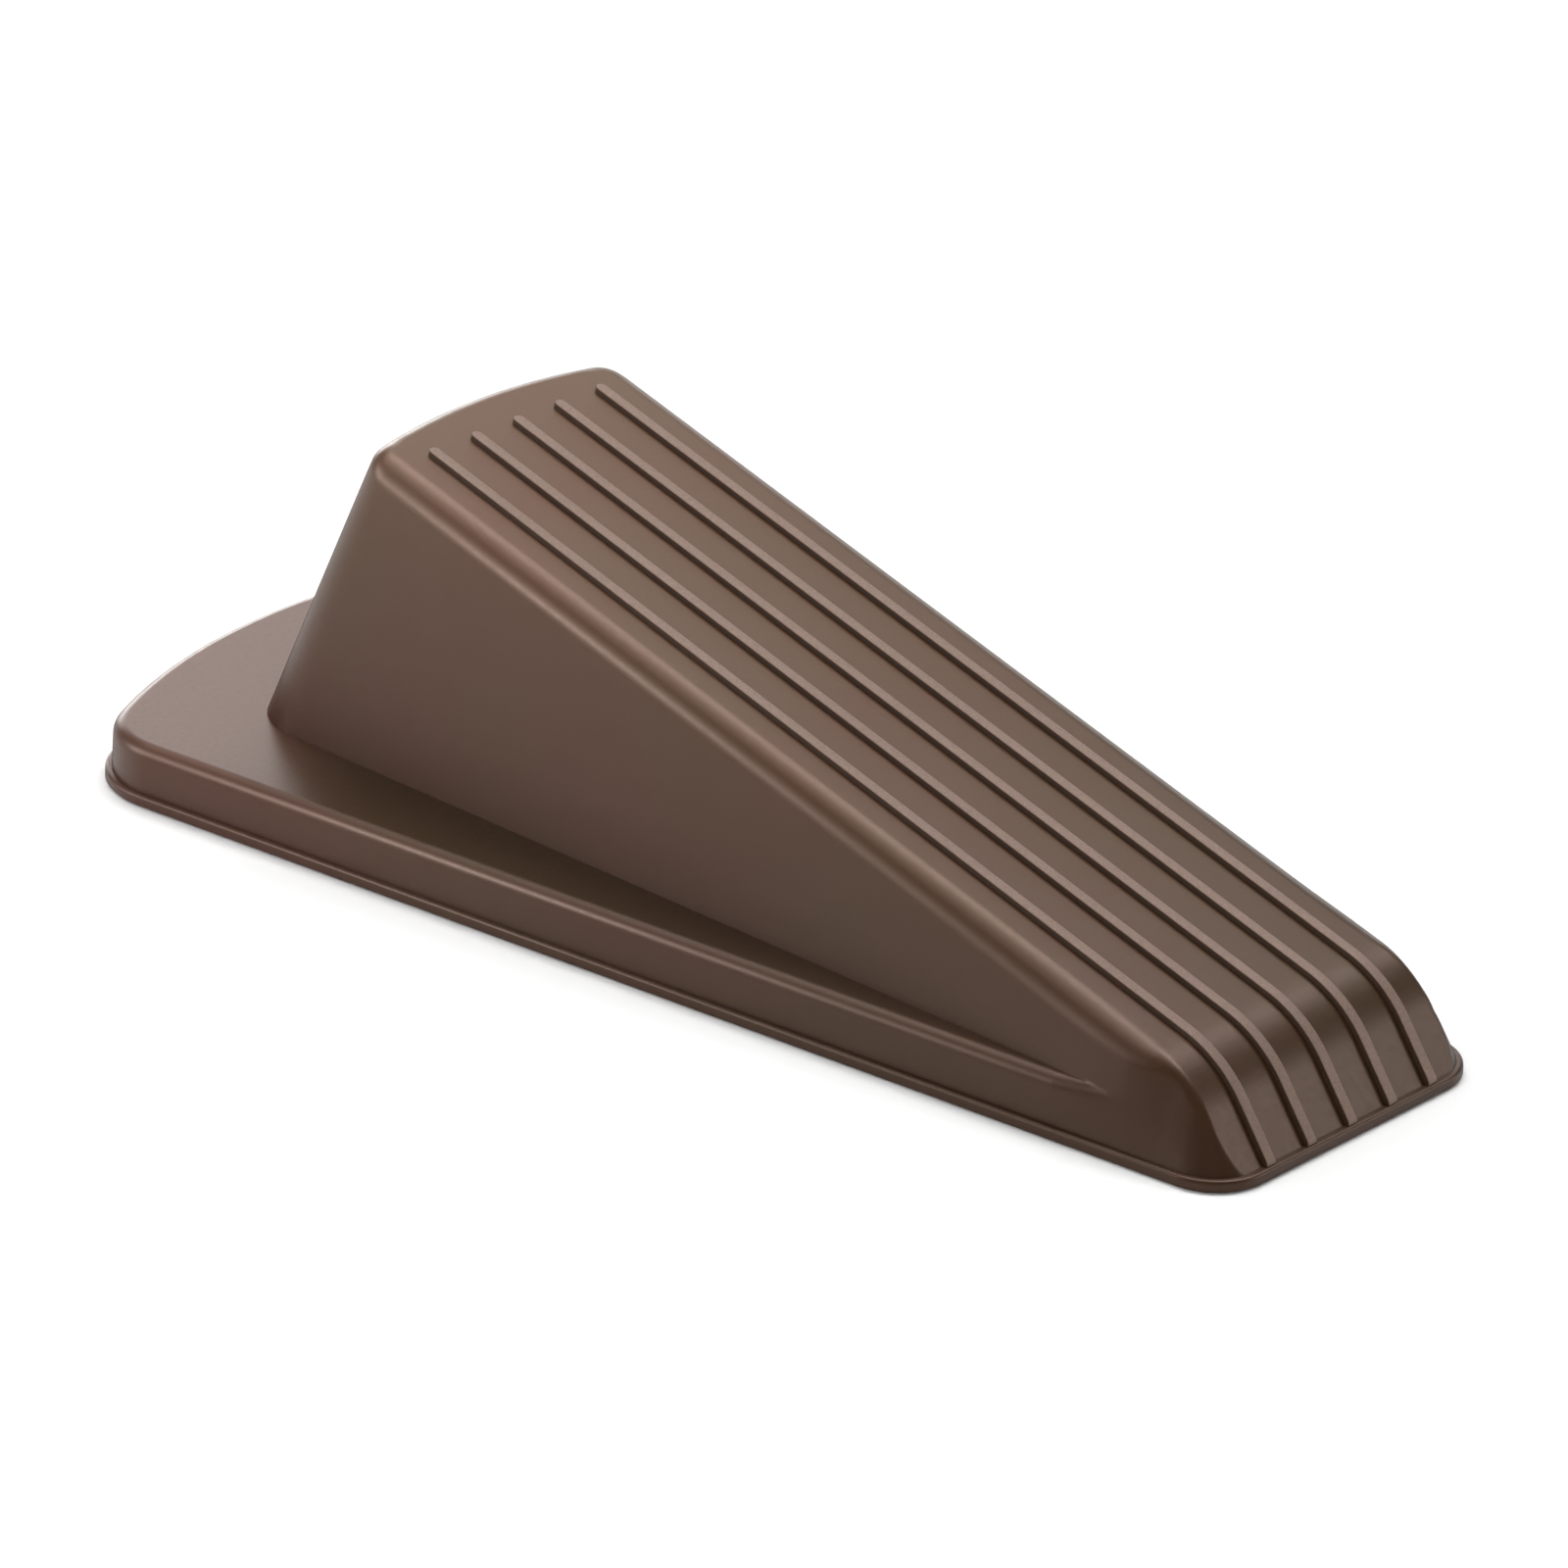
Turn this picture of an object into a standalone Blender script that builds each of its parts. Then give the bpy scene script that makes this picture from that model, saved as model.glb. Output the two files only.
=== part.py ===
"""Door stop: a solid rubber wedge on a wide foot, with grip ribs running down its ramp.

The toe points to -Y, the heel to +Y, and the origin is on the floor under the middle of the sole.
From the floor up, the pieces are sole_pad, base_foot, wedge_body and grip_rib_1 to grip_rib_5.
"""

import math

import bmesh
import bpy
from mathutils import Vector

MM = 0.001

# Overall size, and the clearance kept between two pieces that touch
LENGTH = 120.65 * MM
WIDTH = 57.15 * MM
HEIGHT = 31.75 * MM
GAP = 0.3 * MM

# Outline of the sole seen from above: straight toe, splayed sides, bulging heel
TOE_FLAT_WIDTH = 22.2 * MM
TOE_CORNER_RADIUS = 5.0 * MM
HEEL_ROUND_RADIUS = 8.0 * MM
HEEL_ARC_RADIUS = 54.0 * MM

# Sole pad, whose edge stands out below the foot as a lip
LIP_HEIGHT = 1.0 * MM
LIP_REACH = 0.55 * MM
LIP_ROUND = 0.3 * MM
SOLE_CHAMFER = 0.15 * MM

# Foot plate
FOOT_TOP = 5.1 * MM
FOOT_DRAFT = 0.15 * MM
FOOT_ROUND = 1.2 * MM

# Ramp and nose, seen from the side
RAMP_ANGLE = math.radians(14.8)
NOSE_ANGLE = math.radians(53.5)
NOSE_RADIUS = 10.0 * MM
NOSE_SETBACK = 0.75 * MM
CROWN_HEEL_Y = 35.5 * MM

# Sides of the wedge: virtual edge of the crown, and the line where a side meets the foot
RAMP_EDGE_HALF_WIDTH = 14.3 * MM
NOSE_EDGE_HALF_WIDTH = 13.5 * MM
RAMP_EDGE_RADIUS = 2.4 * MM
NOSE_EDGE_RADIUS = 0.8 * MM
ROOT_TOE_HALF_WIDTH = 15.6 * MM
ROOT_HEEL_HALF_WIDTH = 17.4 * MM
ROOT_TOE_Y = -45.0 * MM
ROOT_HEEL_Y = 42.0 * MM
FLANK_START_Y = -53.0 * MM
ROOT_HEEL_APEX_Y = 46.9 * MM
HEEL_CORNER_RADIUS = 3.2 * MM

# Grip ribs
RIB_COUNT = 5
RIB_PITCH = 4.8 * MM
RIB_WIDTH = 1.0 * MM
RIB_HEIGHT = 0.55 * MM
RIB_HEEL_Y = 31.9 * MM

# Facets of the round stretches
CORNER_STEPS = 8
HEEL_ARC_STEPS = 8
SIDE_STEPS = 10
ROUND_STEPS = 4
RAMP_STEPS = 8
NOSE_STEPS = 8
CROWN_STEPS = 6
WELD = 0.001 * MM

# Levels and points that follow from the dimensions
TOE_Y = -LENGTH / 2
BODY_BOTTOM = FOOT_TOP + GAP
FOOT_BOTTOM = LIP_HEIGHT + GAP
NOSE_FOOT_Y = TOE_Y + NOSE_SETBACK
KNEE_Y = (
    HEIGHT - CROWN_HEEL_Y * math.tan(RAMP_ANGLE) - LIP_HEIGHT + NOSE_FOOT_Y * math.tan(NOSE_ANGLE)
) / (math.tan(NOSE_ANGLE) - math.tan(RAMP_ANGLE))
BEND_REACH = NOSE_RADIUS * math.tan((NOSE_ANGLE - RAMP_ANGLE) / 2)
BEND_START_Y = KNEE_Y + BEND_REACH * math.cos(RAMP_ANGLE)
BEND_END_Y = KNEE_Y - BEND_REACH * math.cos(NOSE_ANGLE)
BEND_CENTRE_Y = BEND_START_Y + NOSE_RADIUS * math.sin(RAMP_ANGLE)
BEND_CENTRE_Z = (
    HEIGHT + (BEND_START_Y - CROWN_HEEL_Y) * math.tan(RAMP_ANGLE) - NOSE_RADIUS * math.cos(RAMP_ANGLE)
)


def clear_scene():
    for item in list(bpy.data.objects):
        bpy.data.objects.remove(item, do_unlink=True)


def blend(start, end, amount):
    return start + (end - start) * amount


def smooth_step(value, start, end):
    amount = min(max((value - start) / (end - start), 0.0), 1.0)
    return amount * amount * (3 - 2 * amount)


def arc(centre, radius, start, end, steps):
    """Points on an arc in a plane, from angle start to angle end, both included."""
    angles = [blend(start, end, step / steps) for step in range(steps + 1)]
    return [(centre[0] + radius * math.cos(a), centre[1] + radius * math.sin(a)) for a in angles]


# Shapes seen from above and from the side

def outline():
    """Right half of the sole's outline, from the toe to the heel's apex, as (point, outward direction)."""
    toe_centre = (TOE_FLAT_WIDTH / 2, TOE_Y + TOE_CORNER_RADIUS)
    heel_arc_centre = (0.0, LENGTH / 2 - HEEL_ARC_RADIUS)
    round_x = WIDTH / 2 - HEEL_ROUND_RADIUS
    round_y = heel_arc_centre[1] + math.sqrt((HEEL_ARC_RADIUS - HEEL_ROUND_RADIUS) ** 2 - round_x ** 2)
    heel_centre = (round_x, round_y)
    splay = math.atan2(toe_centre[0] - round_x, round_y - toe_centre[1]) - math.asin(
        (HEEL_ROUND_RADIUS - TOE_CORNER_RADIUS) / math.dist(toe_centre, heel_centre)
    )
    heel_turn = math.atan2(round_y - heel_arc_centre[1], round_x)

    points = []
    for centre, radius, start, end, steps in (
        (toe_centre, TOE_CORNER_RADIUS, -math.pi / 2, splay, CORNER_STEPS),
        (heel_centre, HEEL_ROUND_RADIUS, splay, heel_turn, CORNER_STEPS),
        (heel_arc_centre, HEEL_ARC_RADIUS, heel_turn, math.pi / 2, HEEL_ARC_STEPS),
    ):
        outside = arc(centre, radius, start, end, steps)
        directions = arc((0.0, 0.0), 1.0, start, end, steps)
        if centre == heel_centre:
            points += side_points(points[-1], outside[0])
        points += list(zip(outside, directions))
    return points


def side_points(last, target):
    """Points along a straight side, closer together near the toe, where the wall's slope changes."""
    (start_x, start_y), direction = last
    shares = [(step / SIDE_STEPS) ** 2 for step in range(1, SIDE_STEPS)]
    return [
        ((blend(start_x, target[0], share), blend(start_y, target[1], share)), direction)
        for share in shares
    ]


def outline_half_width(y):
    """Half the width of the sole's outline at y, between the toe's edge and the heel's corner."""
    right = [point for point, _ in outline()]
    for (x0, y0), (x1, y1) in zip(right, right[1:]):
        if y0 <= y <= y1 and y1 > y0:
            return blend(x0, x1, (y - y0) / (y1 - y0))
    return TOE_FLAT_WIDTH / 2


def crown_z(y):
    """Height of the ramp and nose at y."""
    if y >= BEND_START_Y:
        return HEIGHT + (y - CROWN_HEEL_Y) * math.tan(RAMP_ANGLE)
    if y <= BEND_END_Y:
        return LIP_HEIGHT + (y - NOSE_FOOT_Y) * math.tan(NOSE_ANGLE)
    return BEND_CENTRE_Z + math.sqrt(NOSE_RADIUS ** 2 - (y - BEND_CENTRE_Y) ** 2)


def nose_share(y):
    """0 on the ramp and 1 on the nose, for the crown's edge."""
    return smooth_step(y, BEND_START_Y + 2 * MM, BEND_START_Y - 3 * MM)


def flank_share(y):
    """0 where the foot stands out as a ledge and 1 where the flank is one face down to the lip."""
    return smooth_step(y, ROOT_TOE_Y, FLANK_START_Y)


def edge_half_width(y):
    return blend(RAMP_EDGE_HALF_WIDTH, NOSE_EDGE_HALF_WIDTH, nose_share(y))


def edge_radius(y):
    return blend(RAMP_EDGE_RADIUS, NOSE_EDGE_RADIUS, nose_share(y))


def flank_inset(y, z):
    """How far the flank lies inside the outline, on a straight slope from the lip to the crown's edge."""
    y = max(y, BEND_END_Y)
    slope = (outline_half_width(y) - LIP_REACH - edge_half_width(y)) / (crown_z(y) - LIP_HEIGHT)
    return LIP_REACH + slope * (z - LIP_HEIGHT)


def root_half_width(y):
    """Half the wedge's width where it meets the foot."""
    share = (y - ROOT_TOE_Y) / (ROOT_HEEL_Y - ROOT_TOE_Y)
    straight = blend(ROOT_TOE_HALF_WIDTH, ROOT_HEEL_HALF_WIDTH, share)
    if y >= ROOT_TOE_Y:
        return straight
    flank = outline_half_width(max(y, BEND_END_Y)) - flank_inset(y, FOOT_TOP)
    return blend(straight, flank, flank_share(y))


def heel_y(x, z):
    """The wedge's heel face: an arc seen from above that leans towards the toe as it rises."""
    apex = blend(ROOT_HEEL_APEX_Y, CROWN_HEEL_Y, (z - FOOT_TOP) / (HEIGHT - FOOT_TOP))
    return apex - HEEL_ARC_RADIUS + math.sqrt(HEEL_ARC_RADIUS ** 2 - x ** 2)


# Mesh helpers

def loft(bm, rows, closed):
    """Joins rows of points, each with the same count, with quads, and returns the rows' vertices."""
    made = [[bm.verts.new(point) for point in row] for row in rows]
    count = len(made[0])
    for lower, upper in zip(made, made[1:]):
        for index in range(count if closed else count - 1):
            after = (index + 1) % count
            bm.faces.new((lower[index], lower[after], upper[after], upper[index]))
    return made


def close_solid(bm):
    """Welds collapsed points, fills each open loop and turns every face outwards."""
    bmesh.ops.remove_doubles(bm, verts=bm.verts, dist=WELD)
    bmesh.ops.dissolve_degenerate(bm, edges=bm.edges, dist=WELD)
    bmesh.ops.holes_fill(bm, edges=[edge for edge in bm.edges if edge.is_boundary], sides=0)
    bmesh.ops.recalc_face_normals(bm, faces=bm.faces)


def rubber(name, color, roughness):
    material = bpy.data.materials.new(name)
    material.use_nodes = True
    shader = material.node_tree.nodes["Principled BSDF"]
    shader.inputs["Base Color"].default_value = (*color, 1.0)
    shader.inputs["Roughness"].default_value = roughness
    shader.inputs["Metallic"].default_value = 0.0
    return material


def add_piece(name, bm, material):
    mesh = bpy.data.meshes.new(name)
    bm.to_mesh(mesh)
    bm.free()
    mesh.shade_smooth()
    mesh.set_sharp_from_angle(angle=math.radians(30))
    mesh.materials.append(material)
    piece = bpy.data.objects.new(name, mesh)
    bpy.context.collection.objects.link(piece)
    return piece


def plate(levels):
    """A plate whose outline is inset at each level: levels holds (z, function of y giving the inset)."""
    right = outline()
    rows = []
    for z, inset_at in levels:
        half = []
        for (x, y), (nx, ny) in right:
            inset = inset_at(y)
            half.append((x - nx * inset, y - ny * inset, z))
        left = [(-x, y, z) for x, y, z in reversed(half[:-1])]
        rows.append(half + left)
    bm = bmesh.new()
    loft(bm, rows, closed=True)
    return bm


# The pieces

def build_sole_pad():
    """The flat sole, whose rounded edge is the lip around the bottom."""
    insets = [(0.0, SOLE_CHAMFER), (SOLE_CHAMFER, 0.0)]
    insets += [
        (LIP_HEIGHT - LIP_ROUND + rise, LIP_ROUND - reach)
        for reach, rise in arc((0.0, 0.0), LIP_ROUND, 0.0, math.pi / 2, ROUND_STEPS)
    ]
    bm = plate([(z, lambda y, inset=inset: inset) for z, inset in insets])
    close_solid(bm)
    return add_piece("sole_pad", bm, rubber("sole_pad_rubber", (0.115, 0.077, 0.055), 0.55))


def build_base_foot():
    """The foot plate, with a rounded top edge that fades into the flank at the toe."""
    wall_top = FOOT_TOP - FOOT_ROUND
    wall_inset = LIP_REACH + FOOT_DRAFT
    profile = [(FOOT_BOTTOM, LIP_REACH)]
    profile += [
        (wall_top + rise, wall_inset + FOOT_ROUND - reach)
        for reach, rise in arc((0.0, 0.0), FOOT_ROUND, 0.0, math.pi / 2, ROUND_STEPS)
    ]
    bm = plate([
        (z, lambda y, z=z, inset=inset: blend(inset, flank_inset(y, z), flank_share(y)))
        for z, inset in profile
    ])
    close_solid(bm)
    cut_along_nose(bm)
    return add_piece("base_foot", bm, rubber("base_foot_rubber", (0.150, 0.105, 0.085), 0.5))


def cut_along_nose(bm):
    """Takes off what stands out in front of the nose's slope, and closes the cut."""
    bmesh.ops.bisect_plane(
        bm,
        geom=bm.verts[:] + bm.edges[:] + bm.faces[:],
        dist=WELD,
        plane_co=Vector((0.0, NOSE_FOOT_Y, LIP_HEIGHT)),
        plane_no=Vector((0.0, -math.sin(NOSE_ANGLE), math.cos(NOSE_ANGLE))),
        clear_outer=True,
    )
    close_solid(bm)


def body_section(y, inset):
    """Right half of the wedge's cross-section at y, as (x, z) from its root to the centreline."""
    top = crown_z(y)
    rise = max(top - BODY_BOTTOM, 0.0)
    edge_x = edge_half_width(y) - inset
    root_x = root_half_width(y) - inset
    lean = math.atan2(root_x - edge_x, rise)
    radius = min(edge_radius(y), rise / 2)
    reach = radius * math.tan((math.pi / 2 - lean) / 2)
    shoulder = arc((edge_x - reach, top - radius), radius, lean, math.pi / 2, ROUND_STEPS + 2)
    crown = [
        (shoulder[-1][0] * (1 - step / CROWN_STEPS), top) for step in range(1, CROWN_STEPS + 1)
    ]
    return [(root_x, BODY_BOTTOM)] + shoulder + crown


def mirrored_row(half):
    return half + [(-x, y, z) for x, y, z in reversed(half[:-1])]


def flat_row(y):
    """A row of the wedge's surface in the plane across it at y."""
    return mirrored_row([(x, y, z) for x, z in body_section(y, 0.0)])


def heel_row(turn):
    """A row around the wedge's rounded heel corners: turn 0 ends the sides and pi/2 is the heel face."""
    inset = HEEL_CORNER_RADIUS * (1 - math.cos(turn))
    setback = HEEL_CORNER_RADIUS * (1 - math.sin(turn))
    half = []
    for index in range(len(body_section(0.0, 0.0))):
        y = CROWN_HEEL_Y
        for _ in range(12):
            x, z = body_section(y, inset)[index]
            y = heel_y(x, z) - setback
        half.append((x, y, z))
    return mirrored_row(half)


def build_wedge_body():
    """The wedge: ramp, nose and leaning sides, with a rounded edge along the crown."""
    tip_y = NOSE_FOOT_Y + (BODY_BOTTOM - LIP_HEIGHT) / math.tan(NOSE_ANGLE)
    if tip_y > BEND_END_Y:
        tip_y = BEND_CENTRE_Y - math.sqrt(NOSE_RADIUS ** 2 - (BODY_BOTTOM - BEND_CENTRE_Z) ** 2)
    last_flat_y = heel_y(RAMP_EDGE_HALF_WIDTH, HEIGHT) - 2 * HEEL_CORNER_RADIUS
    stations = [blend(tip_y, BEND_START_Y, step / NOSE_STEPS) for step in range(NOSE_STEPS)]
    stations += [blend(BEND_START_Y, last_flat_y, step / RAMP_STEPS) for step in range(RAMP_STEPS + 1)]
    rows = [flat_row(y) for y in stations]
    rows += [heel_row(step / ROUND_STEPS * math.pi / 2) for step in range(ROUND_STEPS + 1)]
    bm = bmesh.new()
    made = loft(bm, rows, closed=False)
    close_heel_face(bm, made[-1])
    close_solid(bm)
    return add_piece("wedge_body", bm, rubber("wedge_body_rubber", (0.145, 0.100, 0.078), 0.5))


def close_heel_face(bm, row):
    """Fills the heel face with upright strips between the crown's edge and a row along its root."""
    side_count = ROUND_STEPS + 3
    crown = row[side_count:-side_count]
    left, right = row[0].co, row[-1].co
    root = []
    for index in range(1, len(crown) - 1):
        x = blend(left.x, right.x, index / (len(crown) - 1))
        root.append(bm.verts.new((x, heel_y(x, BODY_BOTTOM), BODY_BOTTOM)))
    bm.faces.new(row[:side_count + 1] + [crown[1], root[0]])
    for index in range(1, len(crown) - 2):
        bm.faces.new((crown[index], crown[index + 1], root[index], root[index - 1]))
    bm.faces.new([crown[-2]] + row[-side_count - 1:] + [root[-1]])


def rib_station(y, z, angle, offset):
    """The point at a height of offset above the crown's point (y, z), where the crown slopes by angle."""
    return y - offset * math.sin(angle), z + offset * math.cos(angle)


def rib_line(offset):
    """A rib's centreline at a height of offset above the crown, from its heel end to the lip."""
    start = rib_station(RIB_HEEL_Y, crown_z(RIB_HEEL_Y), RAMP_ANGLE, offset)
    half_width = RIB_WIDTH / 2
    line = []
    for step in range(1, ROUND_STEPS + 1):
        along = half_width * (1 - math.cos(step / ROUND_STEPS * math.pi / 2))
        line.append((start[0] - along * math.cos(RAMP_ANGLE), start[1] - along * math.sin(RAMP_ANGLE)))
    for step in range(NOSE_STEPS + 1):
        angle = blend(RAMP_ANGLE, NOSE_ANGLE, step / NOSE_STEPS)
        radius = NOSE_RADIUS + offset
        line.append((
            BEND_CENTRE_Y - radius * math.sin(angle),
            BEND_CENTRE_Z + radius * math.cos(angle),
        ))
    foot_y, foot_z = rib_station(NOSE_FOOT_Y, LIP_HEIGHT, NOSE_ANGLE, offset)
    line.append((foot_y + (FOOT_BOTTOM - foot_z) / math.tan(NOSE_ANGLE), FOOT_BOTTOM))
    return line


def build_grip_rib(index, material):
    """One raised rib with a half-round heel end, which follows the ramp and nose down to the lip."""
    centre_x = (index - (RIB_COUNT + 1) / 2) * RIB_PITCH
    lower, upper = rib_line(GAP), rib_line(RIB_HEIGHT)
    rows = []
    for step, (low, high) in enumerate(zip(lower, upper), start=1):
        half_width = RIB_WIDTH / 2 * math.sin(min(step / ROUND_STEPS, 1.0) * math.pi / 2)
        rows.append([
            (centre_x - half_width, *low),
            (centre_x - half_width, *high),
            (centre_x + half_width, *high),
            (centre_x + half_width, *low),
        ])
    bm = bmesh.new()
    loft(bm, rows, closed=True)
    close_solid(bm)
    return add_piece(f"grip_rib_{index}", bm, material)


def main():
    clear_scene()
    build_sole_pad()
    build_base_foot()
    build_wedge_body()
    for index in range(1, RIB_COUNT + 1):
        build_grip_rib(index, rubber(f"grip_rib_{index}_rubber", (0.235, 0.180, 0.150), 0.65))


main()
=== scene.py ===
"""Door stop: a ribbed wedge of brown moulded rubber on a wide lipped foot, on a pale studio floor."""

import math

import bmesh
import bpy
from mathutils import Matrix, Vector


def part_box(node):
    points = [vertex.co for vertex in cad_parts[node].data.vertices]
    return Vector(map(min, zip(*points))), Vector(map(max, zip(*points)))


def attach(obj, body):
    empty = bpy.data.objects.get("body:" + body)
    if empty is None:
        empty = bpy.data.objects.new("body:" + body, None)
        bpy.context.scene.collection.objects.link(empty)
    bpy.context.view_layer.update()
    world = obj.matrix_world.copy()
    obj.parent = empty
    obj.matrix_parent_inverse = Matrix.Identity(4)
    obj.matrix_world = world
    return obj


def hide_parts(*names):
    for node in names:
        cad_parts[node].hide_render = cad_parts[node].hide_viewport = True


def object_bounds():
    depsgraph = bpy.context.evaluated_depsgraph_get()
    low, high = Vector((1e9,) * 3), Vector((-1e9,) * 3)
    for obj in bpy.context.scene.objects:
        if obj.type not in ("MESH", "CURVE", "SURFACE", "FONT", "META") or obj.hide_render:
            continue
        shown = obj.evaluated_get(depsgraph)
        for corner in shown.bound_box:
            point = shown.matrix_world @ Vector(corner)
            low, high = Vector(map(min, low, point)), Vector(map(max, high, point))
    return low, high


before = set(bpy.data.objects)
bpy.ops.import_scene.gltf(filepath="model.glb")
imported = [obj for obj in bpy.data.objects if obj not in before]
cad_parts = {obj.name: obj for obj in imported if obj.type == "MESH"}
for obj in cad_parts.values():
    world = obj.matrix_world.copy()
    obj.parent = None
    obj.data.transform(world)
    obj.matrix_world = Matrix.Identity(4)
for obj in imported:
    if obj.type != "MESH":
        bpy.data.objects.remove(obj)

MM = 0.001
cad_low, cad_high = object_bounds()
_, sole_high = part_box("sole_pad")
_, foot_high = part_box("base_foot")
RIB_NODES = sorted(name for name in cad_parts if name.startswith("grip_rib_"))

# Ends and levels of the CAD model, and how deep the pieces sit in each other
TOE_Y, HEEL_Y = cad_low.y, cad_high.y
HALF_WIDTH = cad_high.x
HEIGHT = cad_high.z
LIP_TOP = sole_high.z
FOOT_TOP = foot_high.z
EMBED = 0.2 * MM

# The sole and the foot, whose outline is seen from above
TOE_FLAT_WIDTH = 22.2 * MM
CORNER_RADIUS = 5.0 * MM
HEEL_ROUND_RADIUS = 8.0 * MM
HEEL_ARC_RADIUS = 54.0 * MM
LIP_REACH = 0.55 * MM
LIP_ROUND = 0.3 * MM
SOLE_CHAMFER = 0.15 * MM
SOLE_OVERLAP = 0.5 * MM
FOOT_DRAFT = 0.15 * MM
FOOT_ROUND = 1.2 * MM

# Ramp and nose
RAMP_ANGLE = math.radians(14.8)
NOSE_ANGLE = math.radians(53.5)
NOSE_RADIUS = 10.0 * MM
NOSE_SETBACK = 0.75 * MM
CROWN_HEEL_Y = 35.5 * MM

# Sides and heel of the wedge
RAMP_EDGE_HALF_WIDTH = 14.3 * MM
NOSE_EDGE_HALF_WIDTH = 13.5 * MM
RAMP_EDGE_RADIUS = 2.4 * MM
NOSE_EDGE_RADIUS = 0.8 * MM
HEEL_EDGE_RADIUS = 1.6 * MM
ROOT_TOE_HALF_WIDTH = 15.6 * MM
ROOT_HEEL_HALF_WIDTH = 17.4 * MM
ROOT_TOE_Y = -45.0 * MM
ROOT_HEEL_Y = 42.0 * MM
ROOT_HEEL_APEX_Y = 47.9 * MM
HEEL_TOP_Y = 36.3 * MM
TOP_CORNER_RADIUS = 3.2 * MM
ROOT_CORNER_RADIUS = 6.0 * MM
FLANK_FADE_START_Y = -42.0 * MM
FLANK_FADE_END_Y = -51.0 * MM

# Solving of the wedge's surface: leans and a cosine that are close enough away from the toe, limits that
# keep it steady, where the heel's corners start and the turn around them over which the crown's edge
# changes, and the room left for roundings, creases and first rows
SIDE_LEAN = 0.12
SIDE_COSINE = 0.11
COSINE_LIMIT = 0.9
WALL_LEAN = 0.15
SUNK_LEAN_LIMIT = 0.15
LEAST_RISE = 1.0 * MM
TOE_GUARD = 0.1 * MM
CORNER_GUARD = 0.02 * MM
CORNERS_START_Y = 20.0 * MM
CORNER_TURN = 1.1
RAMP_END_GAP = 0.5 * MM
ROUNDING_ROOM = 0.6
CREASE_ROOM = 0.4
FOOT_FIRST_GAP = 1.5 * MM

# Grip ribs
RIB_HEIGHT = 0.52 * MM
RIB_SINK = 0.25 * MM
RIB_EDGE_RADIUS = 0.09 * MM
RIB_END_ROUND = 0.55 * MM
RIB_END_HEIGHT = 0.25 * MM
RIB_HEEL_Y = 31.9 * MM

# Looks of the rubber: colours as the darker and the lighter one, noises as scale, detail and roughness
BROWN = ((0.0650, 0.0313, 0.0191), (0.0606, 0.0359, 0.0201))
SIDE_BROWN = ((0.060, 0.034, 0.021), (0.070, 0.040, 0.025))
WORN_BROWN = ((0.184, 0.126, 0.100), (0.210, 0.147, 0.118))
SHEEN = 0.49
SHEEN_TINT = (0.90, 0.66, 0.56, 1.0)
EDGE_ON_BLEND = 0.35
EDGE_ON_STOPS = (0.50, 0.82)
CLOUD_NOISE = (38.0, 3.0, 0.5)
CLOUD_STOPS = (0.36, 0.64)
FLECK_NOISE = (5200.0, 2.0, 0.7)
FLECK_STOPS = (0.30, 0.70)
WORN_FLECK_STOPS = (0.32, 0.68)
ROUGH_NOISE = (2200.0, 4.0, 0.5)
ROUGH_STOPS = (0.3, 0.7)
GRAIN_NOISE = (2600.0, 3.0, 0.6)

# Tone of the rubber: painted light makes it paler along a way, towards the heel and upwards, and so
# darker towards the toe and the floor. It is also tinted in bands. A band is its tint and the stretches
# along axes over which it comes in
PAINTED_LIGHT_WAY = (0.0, 5.0, 25.0)
PAINTED_LIGHT_OFFSET = -0.40
# Painted light on the ribs: paler towards the heel, darker towards the toe
RIB_PAINTED_LIGHT_WAY = (0.0, 2.5, 0.0)
# Painted shade: darker and more olive towards the toe
TOE_PAINTED_SHADE = ((1.02, 0.91, 0.62), (("Y", 50.0 * MM, -50.0 * MM),))
LOW_HEEL_BAND = ((1.24, 1.0, 1.0), (("Y", -25.0 * MM, 30.0 * MM), ("Z", 24.0 * MM, 4.0 * MM)))
# Painted shadow of the wedge on the foot's top, along both sides, fading out towards the heel and the toe
LEDGE_PAINTED_SHADOW = ((0.46, 0.47, 0.12), (
    ("Y", 46.0 * MM, 26.0 * MM), ("Y", -38.0 * MM, -5.0 * MM),
    ("Z", FOOT_TOP - 0.25 * MM, FOOT_TOP - 0.02 * MM),
))
BODY_BANDS = (TOE_PAINTED_SHADE, LOW_HEEL_BAND)
FOOT_BANDS = (TOE_PAINTED_SHADE, LOW_HEEL_BAND, LEDGE_PAINTED_SHADOW)

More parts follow.
